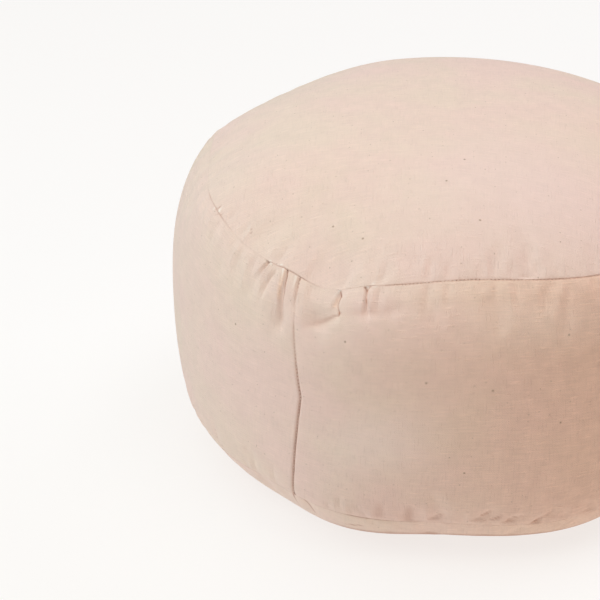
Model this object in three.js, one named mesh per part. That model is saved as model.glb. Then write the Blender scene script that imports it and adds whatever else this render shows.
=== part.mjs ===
// A zafu: a round, firmly filled meditation cushion, sewn from a round top panel, an upright side band
// whose two ends meet in one join, and a round bottom panel. Each panel is a solid that holds its own
// share of the filling, and the three meet at the seams.
// Millimetres, +Z up, origin on the floor under the middle of the cushion's box.
// Azimuth 0 faces -Y and grows towards +X, in degrees.
import * as THREE from "three";

// ---- Driving dimensions ------------------------------------------------------------------------

const HEIGHT = 224; // floor to the middle of the crown
const BELLY = { radius: 180, height: 102.5 }; // widest part of the band
const TOP_SEAM = { radius: 159.5, height: 188, slope: 41 }; // slope: the cloth's fall below level
const BOTTOM_SEAM = { radius: 167.5, height: 30, tuckUnder: 32 }; // tuckUnder: degrees off upright
const FOOT = { radius: 132.5, height: 0 }; // edge of the flat that the filling presses onto the floor
const SEAM_GAP = 0.3; // between neighbouring panels
const SEAM_PULL = { depth: 1.6, reach: 3 }; // how far the stitches draw the cloth in
const ALLOWANCE = { width: 16, rise: 1.1 }; // seam allowance folded down inside the band
const TROUGH_RUN_IN = 4; // a trough reaches its depth this far from its start
const BOX_MIDDLE = { x: 0.6, y: -1.6 }; // from the axis of the seams to the middle of the box

// How full each stretch of the section is: 0 is a straight chord, 1 is a sharp corner.
const FULLNESS = { crown: 0.71, shoulder: 0.75, skirt: 0.66, underside: 0.72 };

// Where the cover departs from a true round. Each row fades to nothing `spread` degrees either side of
// its azimuth; radius and height are what it adds there.
const TOP_SEAM_SWAY = [
  { azimuth: -124.5, spread: 38, radius: 0, height: -6 },
  { azimuth: -85.5, spread: 27, radius: -7, height: -2 },
  { azimuth: -47, spread: 18, radius: 0.5, height: -3 },
  { azimuth: -30, spread: 39, radius: 0, height: -11.5 }, // drawn down where tucks gather the band
  { azimuth: -26, spread: 11.5, radius: 0.5, height: -5 },
  { azimuth: 8, spread: 30, radius: -5.5, height: -1.5 },
  { azimuth: 52, spread: 55, radius: 0.5, height: -9 },
];
const BELLY_SWAY = [
  { azimuth: -64, spread: 42.5, radius: -4.5, height: 0 },
  { azimuth: -11, spread: 35, radius: 4, height: 0 },
];
const BOTTOM_SEAM_SWAY = [
  { azimuth: -29, spread: 27.5, radius: 3.5, height: 6 },
  { azimuth: -21, spread: 22, radius: 7.5, height: -1 },
  { azimuth: 27.5, spread: 32, radius: 3.5, height: -3.5 },
];
const FOOT_SWAY = [
  { azimuth: 4, spread: 35, radius: -15, height: 0 },
  { azimuth: 45, spread: 35, radius: 10, height: 0 },
];

// The upright join of the band's two ends: its azimuth at each distance down from the top seam.
const JOIN = [
  { down: 0, azimuth: -32.3 },
  { down: 18, azimuth: -30.8 },
  { down: 43, azimuth: -29 },
  { down: 70.5, azimuth: -27.4 },
  { down: 98, azimuth: -28.5 },
  { down: 143, azimuth: -30.2 },
];
const JOIN_GROOVE = { depth: 1.1, halfWidth: 3.2 };

// Troughs, each by where it starts and ends: azimuths, and distances from its seam.
// Tucks of the band, down from the top seam.
const TUCKS = [
  { from: -40.9, to: -41.3, start: 0, end: 12, halfWidth: 4.5, depth: 1.8 },
  { from: -38, to: -39, start: 0, end: 27, halfWidth: 4.5, depth: 1.4 },
  { from: -35.4, to: -33.2, start: 0, end: 32, halfWidth: 4.5, depth: 3.4 },
  { from: -32.4, to: -30.9, start: 0, end: 20, halfWidth: 4, depth: 2.4 },
  { from: -22.5, to: -20.9, start: 0, end: 22, halfWidth: 4.5, depth: 3.2 },
  { from: -16.9, to: -14.9, start: 0, end: 24, halfWidth: 4.5, depth: 2.2 },
];
// Puckers of the band, up from the bottom seam.
const BOTTOM_PUCKERS = [
  { from: -6.2, to: -6.2, start: 0, end: 20, halfWidth: 8, depth: 1.6 },
  { from: -1.7, to: 0.8, start: 3, end: 13, halfWidth: 6, depth: 1.2 },
  { from: 7, to: 10.8, start: 4, end: 20, halfWidth: 6, depth: 1.6 },
  { from: 13.2, to: 16.1, start: 3, end: 13, halfWidth: 6, depth: 1.4 },
  { from: 19, to: 22, start: 0, end: 12, halfWidth: 7, depth: 1.4 },
  { from: 29.4, to: 31.3, start: 2, end: 14, halfWidth: 7, depth: 1.1 },
];
// Soft folds of the top panel, in from its seam, and of the bottom panel, under from its seam.
const CROWN_FOLDS = [
  { from: 16.7, to: 19.6, start: 0, end: 52, halfWidth: 7, depth: 1.3 },
  { from: -15, to: -17, start: 0, end: 26, halfWidth: 6, depth: 0.9 },
  { from: -22.4, to: -21.2, start: 0, end: 30, halfWidth: 6, depth: 0.8 },
];
const UNDER_FOLDS = [{ from: -27.1, to: -27.6, start: 0, end: 24, halfWidth: 6, depth: 1.3 }];
// Soft hollows of the band, by the distance of their middle down from the top seam.
const HOLLOWS = [
  { azimuth: -25.2, down: 19, halfWidth: 13, halfHeight: 9, depth: 1.8 }, // beside the fifth tuck
  { azimuth: -33.5, down: 28, halfWidth: 8, halfHeight: 14, depth: 1.6 }, // where the third opens out
  { azimuth: -13, down: 16, halfWidth: 24, halfHeight: 6, depth: 0.9 }, // edge of the allowance
];

// Columns of the mesh: finer where the tucks are. Each row runs to the next row's azimuth.
const COLUMN_RUNS = [
  { from: -60, step: 3 },
  { from: -45, step: 1.25 },
  { from: -10, step: 2.2 },
  { from: 34, step: 4.6 },
  { from: 300, step: 0 },
];
const JOIN_REACH = 26; // degrees over which the columns lean with the join

// Rings of the mesh, as shares of each stretch of the section.
const CROWN_RINGS = [0.2, 0.38, 0.54, 0.68, 0.8, 0.89, 0.96];
const SHOULDER_RINGS = [0.05, 0.1, 0.16, 0.23, 0.32, 0.44, 0.6, 0.8, 1];
const SKIRT_RINGS = [0.22, 0.44, 0.63, 0.77, 0.88, 0.96];
const UNDERSIDE_RINGS = [0.1, 0.26, 0.45, 0.66, 0.85];

const FABRIC = { color: "#e3cfc1", roughness: 0.95, metalness: 0 };

// ---- Form --------------------------------------------------------------------------------------

const radians = THREE.MathUtils.degToRad;
const slopeFall = Math.tan(radians(TOP_SEAM.slope));
const underLean = Math.tan(radians(BOTTOM_SEAM.tuckUnder));

/** 1 in the middle, easing to 0 at `reach` away from it. */
function fade(distance, reach) {
  return Math.abs(distance) < reach ? 0.5 + 0.5 * Math.cos((Math.PI * distance) / reach) : 0;
}

/** Degrees from azimuth b to azimuth a, between -180 and 180. */
function turn(a, b) {
  return THREE.MathUtils.euclideanModulo(a - b + 180, 360) - 180;
}

/**
 * A seam's or the belly's point in the section at one azimuth: x is its radius, y its height. Away from
 * the seam its dips die out over a distance as long as they are wide.
 */
function swayed(base, rows, azimuth, away = 0) {
  const point = new THREE.Vector2(base.radius, base.height);
  for (const row of rows) {
    const share = fade(turn(azimuth, row.azimuth), row.spread);
    point.x += row.radius * share;
    point.y += row.height * share * fade(away, radians(row.spread) * base.radius);
  }
  return point;
}

/** A curve that leaves `start` towards `corner` and reaches `end` from it. */
function swell(start, corner, end, fullness) {
  const leave = start.clone().lerp(corner, fullness);
  const arrive = end.clone().lerp(corner, fullness);
  return new THREE.CubicBezierCurve(start, leave, arrive, end);
}

/** The true dome of the top panel's section, from the pole to the seam. */
function domeSection() {
  const pole = new THREE.Vector2(0, HEIGHT);
  const seam = new THREE.Vector2(TOP_SEAM.radius, TOP_SEAM.height);
  const corner = new THREE.Vector2(seam.x - (HEIGHT - seam.y) / slopeFall, HEIGHT);
  return swell(pole, corner, seam, FULLNESS.crown);
}

/** The stretches of the cushion's section below the top seam at one azimuth. */
function section(azimuth) {
  const top = swayed(TOP_SEAM, TOP_SEAM_SWAY, azimuth);
  const belly = swayed(BELLY, BELLY_SWAY, azimuth);
  const bottom = swayed(BOTTOM_SEAM, BOTTOM_SEAM_SWAY, azimuth);
  const foot = swayed(FOOT, FOOT_SWAY, azimuth);
  const shoulderCorner = new THREE.Vector2(belly.x, top.y - (belly.x - top.x) * slopeFall);
  const skirtCorner = new THREE.Vector2(belly.x, bottom.y + (belly.x - bottom.x) / underLean);
  const footCorner = new THREE.Vector2(bottom.x - bottom.y * underLean, 0);
  return {
    shoulder: swell(top, shoulderCorner, belly, FULLNESS.shoulder),
    skirt: swell(belly, skirtCorner, bottom, FULLNESS.skirt),
    underside: swell(bottom, footCorner, foot, FULLNESS.underside),
  };
}

/** Length of a curve from its start to share t. */
function lengthTo(curve, t) {
  const steps = 12;
  let length = 0;
  for (let i = 0; i < steps; i += 1) {
    length += curve.getPoint((t * i) / steps).distanceTo(curve.getPoint((t * (i + 1)) / steps));
  }
  return length;
}

/** The join's azimuth at a distance down from the top seam. */
function joinAzimuth(down) {
  const next = JOIN.findIndex((row) => row.down > down);
  if (next < 0) return JOIN.at(-1).azimuth;
  const [a, b] = [JOIN[next - 1], JOIN[next]];
  return THREE.MathUtils.mapLinear(down, a.down, b.down, a.azimuth, b.azimuth);
}

/** Depth of the troughs in a table at one place, `along` being the distance from their seam. */
function troughs(rows, azimuth, along, radius) {
  let depth = 0;
  for (const row of rows) {
    const share = (along - row.start) / (row.end - row.start);
    if (share >= 0 && share < 1) {
      const middle = THREE.MathUtils.lerp(row.from, row.to, share);
      const across = radians(turn(azimuth, middle)) * radius;
      const ends = (1 - fade(along - row.start, TROUGH_RUN_IN)) * Math.cos((Math.PI / 2) * share);
      depth += row.depth * ends * fade(across, row.halfWidth * (1 + share));
    }
  }
  return depth;
}

/** How far the stitches draw the cloth in at a distance from their seam. */
function seamPull(distance) {
  return SEAM_PULL.depth * fade(distance, SEAM_PULL.reach);
}

/** How far the band's cloth stands out from its plain section. */
function bandRelief(azimuth, down, up, radius) {
  let relief = ALLOWANCE.rise * fade(down - ALLOWANCE.width / 2, ALLOWANCE.width / 2);
  relief -= troughs(TUCKS, azimuth, down, radius) + troughs(BOTTOM_PUCKERS, azimuth, up, radius);
  for (const row of HOLLOWS) {
    const across = radians(turn(azimuth, row.azimuth)) * radius;
    relief -= row.depth * fade(across, row.halfWidth) * fade(down - row.down, row.halfHeight);
  }
  const fromJoin = radians(turn(azimuth, joinAzimuth(down))) * radius;
  relief -= JOIN_GROOVE.depth * fade(fromJoin, JOIN_GROOVE.halfWidth);
  return relief - seamPull(down) - seamPull(up);
}

/** How far the top panel's cloth stands out from its plain section. */
function crownRelief(azimuth, inward, radius) {
  return -seamPull(inward) - troughs(CROWN_FOLDS, azimuth, inward, radius);
}

/** How far the bottom panel's cloth stands out from its plain section. */
function underRelief(azimuth, inward, radius) {
  return -seamPull(inward) - troughs(UNDER_FOLDS, azimuth, inward, radius);
}

/** A point of the section moved `relief` out along its normal, and `lift` up. */
function placed(point, tangent, relief, azimuth, lift) {
  const radius = point.x - tangent.y * relief;
  const angle = radians(azimuth);
  const height = point.y + tangent.x * relief + lift;
  return new THREE.Vector3(radius * Math.sin(angle), -radius * Math.cos(angle), height);
}

// ---- Mesh --------------------------------------------------------------------------------------

/** The columns' azimuths: the join's own column, and the runs of the table. */
function columnAzimuths() {
  const azimuths = [];
  for (let i = 0; i + 1 < COLUMN_RUNS.length; i += 1) {
    const [run, next] = [COLUMN_RUNS[i], COLUMN_RUNS[i + 1]];
    const count = Math.round((next.from - run.from) / run.step);
    for (let k = 0; k < count; k += 1) {
      azimuths.push(run.from + ((next.from - run.from) * k) / count);
    }
  }
  const join = joinAzimuth(0);
  const nearest = azimuths.reduce((a, b) => (Math.abs(b - join) < Math.abs(a - join) ? b : a));
  return azimuths.map((azimuth) => (azimuth === nearest ? join : azimuth));
}

const COLUMNS = columnAzimuths();

/** A column's azimuth at a distance down the band, where the columns lean with the join. */
function leaning(azimuth, down) {
  const lean = joinAzimuth(down) - joinAzimuth(0);
  return azimuth + lean * fade(turn(azimuth, joinAzimuth(0)), JOIN_REACH);
}

/** One closed solid: a middle point, rings of points that share the columns, and a middle point. */
function solid(name, firstMiddle, rings, lastMiddle) {
  const columns = COLUMNS.length;
  const points = [firstMiddle, ...rings.flat(), lastMiddle];
  const faces = [];
  const at = (ring, column) => 1 + ring * columns + (column % columns);
  for (let c = 0; c < columns; c += 1) {
    faces.push(0, at(0, c), at(0, c + 1));
    for (let r = 0; r + 1 < rings.length; r += 1) {
      faces.push(at(r, c), at(r + 1, c), at(r + 1, c + 1));
      faces.push(at(r, c), at(r + 1, c + 1), at(r, c + 1));
    }
    faces.push(at(rings.length - 1, c), points.length - 1, at(rings.length - 1, c + 1));
  }
  const geometry = new THREE.BufferGeometry().setFromPoints(points);
  geometry.setIndex(faces);
  geometry.computeVertexNormals();
  const mesh = new THREE.Mesh(geometry, new THREE.MeshStandardMaterial(FABRIC));
  mesh.name = name;
  return mesh;
}

/** A point on the axis of the seams. */
function middle(height) {
  return new THREE.Vector3(0, 0, height);
}

function topPanel() {
  const dome = domeSection();
  const ring = (t, lift = 0) => {
    const inward = dome.getLength() - lengthTo(dome, t);
    return COLUMNS.map((azimuth) => {
      const seam = swayed(TOP_SEAM, TOP_SEAM_SWAY, azimuth, inward);
      const point = dome.getPoint(t);
      point.x *= seam.x / TOP_SEAM.radius;
      point.y += seam.y - TOP_SEAM.height;
      const relief = crownRelief(azimuth, inward, point.x);
      return placed(point, dome.getTangent(t), relief, azimuth, lift);
    });
  };
  const rings = [...CROWN_RINGS.map((t) => ring(t)), ring(1, SEAM_GAP / 2)];
  return solid("top_panel", middle(HEIGHT), rings, middle(TOP_SEAM.height + SEAM_GAP / 2));
}

function sideBand() {
  const ring = (stretch, t, lift = 0) =>
    COLUMNS.map((column) => {
      const plain = section(column);
      const whole = plain.shoulder.getLength() + plain.skirt.getLength();
      const before = stretch === "skirt" ? plain.shoulder.getLength() : 0;
      const down = before + lengthTo(plain[stretch], t);
      const azimuth = leaning(column, down);
      const curve = section(azimuth)[stretch];
      const point = curve.getPoint(t);
      const relief = bandRelief(azimuth, down, whole - down, point.x);
      return placed(point, curve.getTangent(t), relief, azimuth, lift);
    });
  const rings = [
    ring("shoulder", 0, -SEAM_GAP / 2),
    ...SHOULDER_RINGS.map((t) => ring("shoulder", t)),
    ...SKIRT_RINGS.map((t) => ring("skirt", t)),
    ring("skirt", 1, SEAM_GAP / 2),
  ];
  const upper = middle(TOP_SEAM.height - SEAM_GAP / 2);
  return solid("side_band", upper, rings, middle(BOTTOM_SEAM.height + SEAM_GAP / 2));
}

function bottomPanel() {
  const ring = (t, lift = 0) =>
    COLUMNS.map((column) => {
      const azimuth = leaning(column, Infinity);
      const { underside } = section(azimuth);
      const point = underside.getPoint(t);
      const relief = underRelief(azimuth, lengthTo(underside, t), point.x);
      return placed(point, underside.getTangent(t), relief, azimuth, lift);
    });
  const rings = [ring(0, -SEAM_GAP / 2), ...UNDERSIDE_RINGS.map((t) => ring(t)), ring(1)];
  return solid("bottom_panel", middle(BOTTOM_SEAM.height - SEAM_GAP / 2), rings, middle(0));
}

const cushion = new THREE.Group();
cushion.add(topPanel(), sideBand(), bottomPanel());
cushion.position.set(-BOX_MIDDLE.x, -BOX_MIDDLE.y, 0);

export default cushion;
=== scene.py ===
"""The looks of the zafu: its cloth cover, sewing, floor, light and camera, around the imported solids.

Lengths are millimetres and angles degrees while the form is worked out, in the frame of the seams'
axis, and metres in the row frame once a mesh is made. Azimuth 0 faces -Y and grows towards +X.
"""

import math

import bpy
import numpy as np
from mathutils import Matrix, Vector


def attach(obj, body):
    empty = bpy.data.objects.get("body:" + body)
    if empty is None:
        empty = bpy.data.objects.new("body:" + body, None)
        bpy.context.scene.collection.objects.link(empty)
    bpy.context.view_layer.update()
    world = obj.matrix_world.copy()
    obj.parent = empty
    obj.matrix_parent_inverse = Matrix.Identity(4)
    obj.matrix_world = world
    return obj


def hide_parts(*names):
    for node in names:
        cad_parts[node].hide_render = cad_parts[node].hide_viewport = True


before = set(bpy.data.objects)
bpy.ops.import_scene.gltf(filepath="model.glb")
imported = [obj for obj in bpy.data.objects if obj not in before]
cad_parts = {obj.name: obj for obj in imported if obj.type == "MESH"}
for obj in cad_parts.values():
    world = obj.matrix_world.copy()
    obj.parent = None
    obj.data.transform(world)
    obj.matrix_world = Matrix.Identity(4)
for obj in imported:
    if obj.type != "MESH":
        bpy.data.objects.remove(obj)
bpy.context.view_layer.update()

MM = 0.001

# ---- Driving dimensions, the same as in the CAD source ----

HEIGHT = 224  # floor to the middle of the crown
BELLY = (180, 102.5)  # radius and height of the widest part of the band
TOP_SEAM = (159.5, 188)
TOP_SLOPE = 41  # the cloth's fall below level at the top seam
BOTTOM_SEAM = (167.5, 30)
TUCK_UNDER = 32  # degrees off upright at the bottom seam
FOOT = (132.5, 0)  # edge of the flat that the filling presses onto the floor
ALLOWANCE_WIDTH = 16  # seam allowance folded down inside the band
BOX_MIDDLE = (0.6, -1.6)  # from the axis of the seams to the middle of the box

# How full each stretch of the section is: 0 is a straight chord, 1 is a sharp corner.
CROWN_FULLNESS = 0.71
SHOULDER_FULLNESS = 0.75
SKIRT_FULLNESS = 0.66
UNDERSIDE_FULLNESS = 0.72

# Where the cover departs from a true round: azimuth, spread, added radius, added height.
TOP_SEAM_SWAY = [
    (-124.5, 38, 0, -6),
    (-85.5, 27, -7, -2),
    (-47, 18, 0.5, -3),
    (-30, 39, 0, -11.5),
    (-26, 11.5, 0.5, -5),
    (8, 30, -5.5, -1.5),
    (52, 55, 0.5, -9),
]
BELLY_SWAY = [(-64, 42.5, -4.5, 0), (-11, 35, 4, 0)]
BOTTOM_SEAM_SWAY = [(-29, 27.5, 3.5, 6), (-21, 22, 7.5, -1), (27.5, 32, 3.5, -3.5)]
FOOT_SWAY = [(4, 35, -15, 0), (45, 35, 10, 0)]

# The upright join of the band's two ends: distance down from the top seam, azimuth.
JOIN = [(0, -32.3), (18, -30.8), (43, -29), (70.5, -27.4), (98, -28.5), (143, -30.2)]
JOIN_REACH = 26  # degrees over which the columns lean with the join

# Troughs: azimuth at the start, at the end, distances of both from the seam, half width, depth.
BOTTOM_PUCKERS = [
    (-6.2, -6.2, 0, 20, 8, 1),
    (-1.7, 0.8, 3, 13, 6, 1.2),
    (7, 10.8, 4, 20, 6, 1.6),
    (13.2, 16.1, 3, 13, 6, 1.4),
    (19, 22, 0, 12, 7, 0.9),
    (29.4, 31.3, 2, 14, 7, 0.6),
]
CROWN_FOLDS = [
    (16.7, 19.6, 0, 52, 7, 1.3),
    (-15, -17, 0, 26, 6, 0.9),
    (-22.4, -21.2, 0, 30, 6, 0.8),
]
UNDER_FOLDS = [(-27.1, -27.6, 0, 24, 6, 1.3)]
# Soft hollows of the band: azimuth, distance down, half width, half height, depth.
HOLLOWS = [
    (-25.2, 19, 13, 9, 1.8),
    (-33.5, 28, 8, 14, 1.6),
    (-13, 16, 24, 6, 0.9),
]

# ---- What only the looks have ----

CLOTH_GAP = 0.02  # between the panels' edges, which the sewing holds together
TROUGH_RUN_IN = 2.0  # a trough reaches its depth this far from its start
SEAM_PULL = (0.35, 2)  # depth and reach of what the stitches draw in
SEAM_ROLL = 0.55  # radius of the cloth's edge where it turns into a seam
LOOSE_PULL = 0.05  # share of the pull that is there even where a seam is loose
ALLOWANCE_RISE = 0.4
JOIN_PULL = (0.7, 2.2)
CREVICE_REACH = 0.75  # how far from the stitches painted shade darkens the cloth along the seam's fold
JOIN_CREVICE_REACH = 1.1

# How tightly each seam is drawn in, and so how much painted shade its line has: azimuth, tightness.
TOP_TIGHTNESS = [
    (-180, 0.6), (-130, 0.5), (-112, 0.1), (-98, 0.02), (-72, 0.06), (-66, 0.35),
    (-60, 0.4), (-55, 0.1), (-52, 0.03), (-43, 0.05), (-37.5, 0.4), (-35.5, 0.65),
    (-31, 0.4), (-28.5, 0.12), (-26, 0.02), (-19, 0.1), (-14, 0.32), (-4, 0.68),
    (10, 0.85), (22, 0.72), (34, 0.6), (180, 0.6),
]
BOTTOM_TIGHTNESS = [
    (-180, 0.6), (-60, 0.5), (-34, 0.3), (-25, 0.15), (-20, 0.35), (-17, 0.8),
    (-13.5, 0.7), (-9, 0.25), (-4, 0.1), (34, 0.1), (60, 0.5), (180, 0.6),
]
# Along a seam it is uneven: share and count of the lumps of noise, coarse ones after fine ones.
SEAM_LUMPS = [(0.55, 300), (0.45, 90)]
UNEVENNESS = (0.35, 1.1, 1.15)  # the least, what the noise adds, and the most
TOP_NOISE, FOOT_NOISE, JOIN_NOISE = 11, 21, 31
# The join: distance down from the top seam, tightness.
JOIN_TIGHTNESS = [(0, 0.4), (8, 0.15), (24, 0.2), (34, 0.45), (52, 0.75), (70, 1), (150, 1)]
JOIN_UNEVENNESS = (0.85, 0.4)
JOIN_LUMPS = (160, 60)  # millimetres that the noise spans, and how many lumps

# Folds of the band: distance down, azimuth, reach to the left, reach to the right and depth.
# A fold with less reach on one side is a lap of cloth with its edge on that side.
BAND_FOLDS = [
    [(0, -41, 2, 1.4, 1.2), (7, -41.3, 3, 2.2, 1.4), (16, -41.8, 5, 4, 0)],
    [(2, -38.1, 2, 1.5, 0), (6, -38.5, 3, 1.4, 1.1), (16, -39, 4, 2, 1), (28, -39.6, 6, 4, 0)],
    [(0, -35.7, 1.6, 0.7, 0.8), (8, -34.7, 2.4, 0.7, 1), (17, -34.1, 4.2, 1, 1.3),
     (27, -33.5, 5, 2, 1), (38, -32.8, 7, 4, 0)],
    [(1, -32.3, 1.8, 0.9, 0.5), (8, -31.7, 2.2, 1, 0.8), (15, -31.2, 3, 2, 0.5), (24, -30.7, 4, 3, 0)],
    [(0.5, -22.5, 3, 0.8, 0.9), (4.6, -21.9, 5, 0.8, 2), (10, -22.1, 6, 0.9, 2.2),
     (15, -21.3, 9, 1.6, 1.6), (22, -22, 10, 5, 0)],
    [(0.5, -16.8, 2.6, 2.6, 0.9), (5, -16.4, 2.2, 1, 1.3), (12, -15.9, 3, 1.2, 1.2),
     (24, -15, 6, 4, 0)],
    [(0, -61.5, 1.5, 1.5, 0.5), (5, -62.4, 2.5, 2.5, 0.4), (12, -63, 4, 4, 0)],
]
# Creases, with painted shade where their cloth closes on itself: distance, azimuth, half width,
# darkness.
BAND_CREASES = [
    [(0.2, -41, 1.3, 0.35), (4, -41.1, 1.6, 0.25), (9, -41.4, 2, 0)],
    [(3, -38.1, 0.8, 0.1), (10, -38.8, 0.9, 0.22), (24, -39.5, 0.9, 0)],
    [(0, -35.7, 0.8, 1), (4, -35, 1, 1), (12, -34.2, 0.9, 0.8), (22, -33.7, 0.8, 0)],
    [(10, -34.9, 3, 0), (18, -34.5, 4, 0.14), (26, -33.8, 4, 0.14), (34, -33.3, 3, 0)],
    [(0.8, -32.3, 0.9, 0.3), (5, -31.9, 1, 0.45), (8, -31.6, 1.2, 0.25), (18, -31.2, 1.4, 0)],
    [(0.6, -22.6, 0.7, 0.5), (2, -22.3, 0.7, 0.6), (4.6, -21.9, 0.9, 1), (8, -22.1, 0.8, 0.8),
     (10.2, -22.2, 0.8, 0.4), (12.5, -21.6, 0.9, 0.8), (15, -21.2, 1.2, 0.8), (17, -21.4, 1.6, 0)],
    [(13.6, -20.4, 1.5, 0), (15, -21.6, 4, 0.5), (17, -23.2, 6, 0.4), (20, -25.2, 7, 0.3),
     (25, -28, 5, 0)],
    [(0.5, -17.3, 0.9, 0.5), (2.6, -16.6, 1.3, 0.75), (5, -16.5, 0.7, 0.4), (7, -16.4, 0.6, 0.3),
     (9, -16.2, 0.9, 0.85), (11, -16, 0.7, 0.5), (15, -15.8, 0.8, 0)],
    [(0.3, -15.9, 0.9, 0.6), (2.6, -16.5, 0.9, 0.3), (3.5, -16.6, 0.8, 0)],
    [(0.4, -60.2, 0.8, 0.5), (2.5, -60.8, 0.8, 0.2), (4, -61, 0.8, 0)],
]
# The same of the top panel, by the distance in from its seam.
CROWN_CREASES = [
    [(0.2, -61.8, 0.8, 0.4), (2.4, -61.6, 0.8, 0.7), (4.5, -61.4, 0.8, 0)],
    [(0.2, -59.6, 0.8, 0.5), (1.8, -59.2, 0.8, 0.2), (3, -59.2, 0.8, 0)],
    [(6, -49.1, 0.6, 0), (7.4, -49.4, 0.7, 0.8), (8.8, -50, 0.7, 0.8), (10.2, -50.5, 0.6, 0)],
]
# Painted highlights by the seams: the same, with negative darkness.
BAND_GLINTS = [
    [(0.2, -36.7, 1.4, -0.9), (2.5, -36.3, 1.2, -0.7), (6, -35.8, 1, -0.3), (11, -35.4, 1, 0)],
    [(0.4, -33.3, 1.3, -0.45), (4, -32.9, 1.1, -0.3), (8, -32.6, 1, 0)],
    [(0.2, -40.1, 1.4, -0.8), (2.2, -40.1, 1, 0)],
    [(0.2, -22.6, 2, -0.9), (1.4, -22.9, 1.6, -0.5), (3, -23.2, 1.6, -0.2), (10, -23.4, 1.6, 0)],
    [(0.2, -16.6, 1.4, -0.9), (1.4, -16.6, 1.2, 0)],
    [(0.2, -14.9, 2.4, -0.5), (2, -14.9, 2, 0)],
    [(0.2, -62.6, 1.4, -0.8), (3, -62.8, 1, 0)],
]
CROWN_GLINTS = [
    [(0.2, -38.6, 1.6, -0.5), (0.8, -37.6, 1.8, -0.9), (2.2, -37.5, 1.4, 0)],
    [(0.2, -40.6, 1.6, -0.9), (1.4, -40.6, 1.4, 0)],
    [(0.2, -60.6, 1.4, -0.8), (1.2, -60.7, 1.4, -0.9), (4.5, -60.8, 1, 0)],
    [(0.2, -15.6, 2.2, -0.3), (1.8, -15.6, 2.2, -0.4), (3.4, -15.4, 1.8, 0)],
    [(6, -49.8, 0.8, 0), (7.4, -50.1, 0.8, -0.5), (8.8, -50.7, 0.8, -0.5), (11, -51.4, 0.7, 0)],
]
# Painted shade of the band's creases by the distance up from the bottom seam.
FOOT_CREASES = [
    [(2, -11.9, 4, 0), (5, -11.9, 4.5, 0.3), (12, -11.8, 4, 0.24), (20, -11.6, 4, 0)],
    [(1, -6.4, 4, 0), (3, -6.4, 4.5, 0.34), (12, -6.2, 4, 0.34), (20, -6, 3, 0)],
    [(5, -1.4, 1.4, 0), (7.4, -0.5, 1.6, 0.6), (9, 0.4, 1.2, 0.4), (12, 1.4, 1.2, 0)],
    [(8, 7.4, 1.4, 0), (10.2, 8.5, 1.6, 0.9), (13, 9.2, 1.4, 0.5), (17, 10.2, 1.4, 0)],
    [(5, 9.7, 1.8, 0), (6.7, 10.4, 2.2, 0.7), (9.9, 11.4, 2.2, 0.5), (12, 12, 1.8, 0)],
    [(5.5, 13.2, 1.2, 0), (7.4, 14.3, 1.5, 0.7), (8.7, 15.2, 1.3, 0.5), (10, 16, 1.2, 0)],
    [(1, 18.4, 2.4, 0), (2, 19, 2.4, 0.7), (5, 20, 2, 0.4), (8.6, 21.2, 3, 0.35), (12, 22.4, 2, 0)],
    [(6, 29.8, 2, 0), (9, 30.5, 2.4, 0.2), (12, 31.2, 1.4, 0)],
]
# Painted shade of the bottom panel's creases, by the distance in from its seam.
UNDER_CREASES = [
    [(0.2, -30.4, 1.2, 0.9), (4, -30.7, 1, 0.8), (9, -30.9, 0.9, 0.5), (18, -31.4, 1, 0.2),
     (22, -31.6, 1, 0)],
    [(0.2, -28.4, 1, 0.4), (2, -28.1, 1, 0.8), (7, -27.5, 1, 0.8), (15.5, -27.3, 1.1, 0.6),
     (22, -27.2, 1.2, 0)],
    [(12, -15.2, 3, 0), (13.6, -16.8, 3.4, 0.6), (14.8, -17.8, 4, 0.9), (18.4, -20.2, 3, 0)],
]
# Painted warm shade of the band's shaded side: azimuth, spread, how tan it is. Uneven dye of the crown:
# place, reach, how rosy it is.
BAND_WARM_SHADE = (36, 62, 0.75)
CROWN_TINT = (55, -100, 115, 1)
# Warm painted shade on the tucks' flanks, as the creases are given.
FLANK_WARM_SHADE = [
    [(0, -36.4, 1.6, 0), (3, -36.1, 1.9, 1), (14, -35.3, 2.2, 1), (20, -34.8, 2.2, 0)],
    [(4, -23, 1.8, 0), (6, -22.6, 1.8, 0.6), (9.6, -22.9, 1.8, 0.6), (12, -22.8, 2, 0)],
]
# Larger seeds that the cloth still holds: azimuth, distance from the top seam.
BAND_SEEDS = [(-44.6, 48.5), (-19, 34), (-3.4, 57), (8.6, 62.5), (21.8, 85.5), (23.3, 32), (4, 115.5)]
CROWN_SEEDS = [(-21.7, 29.5), (-31, 33), (-2, 74.5), (6, 97), (8, 40)]
SEED_SIZE = (0.35, 0.95)  # radius of a seed, and of the edge where it ends
# Soft painted shade: azimuth, distance down, half width, half height, darkness.
BAND_SHADES = [
    (-15.5, 15.8, 18, 3, 0.2),
    (-24.5, 19.5, 12, 6, 0.1),
    (-40.8, 7, 5, 8, 0.12),
    (-12, 48, 75, 36, 0.08),
]
# Soft painted light: the same, with negative darkness.
BAND_PAINTED_LIGHT = [(20, 26, 85, 24, -0.16), (-11, 98, 50, 34, -0.2)]
# Painted contact shadow: the underside is darker from where it slopes less steeply than the first of
# these, in degrees.
FOOT_SLOPES = (47, 39)
FOOT_SHADE = 0.7
GLINT_RISE = 0.5  # of the cloth at a full glint
CREASE_DEPTH = 0.7  # of a fully dark crease

# ---- Form ----

SLOPE_FALL = math.tan(math.radians(TOP_SLOPE))
UNDER_LEAN = math.tan(math.radians(TUCK_UNDER))
BELOW_JOIN = 1e9  # farther down than the join's last row
SECTION_POINTS = [
    (TOP_SEAM, TOP_SEAM_SWAY),
    (BELLY, BELLY_SWAY),
    (BOTTOM_SEAM, BOTTOM_SEAM_SWAY),
    (FOOT, FOOT_SWAY),
]
TABLE_STEPS = np.linspace(0, 1, 97)


def fade(distance, reach):
    """1 in the middle, easing to 0 at `reach` away from it."""
    near = np.abs(distance) < reach
    return np.where(near, 0.5 + 0.5 * np.cos(np.pi * np.clip(distance / reach, -1, 1)), 0.0)


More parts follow.
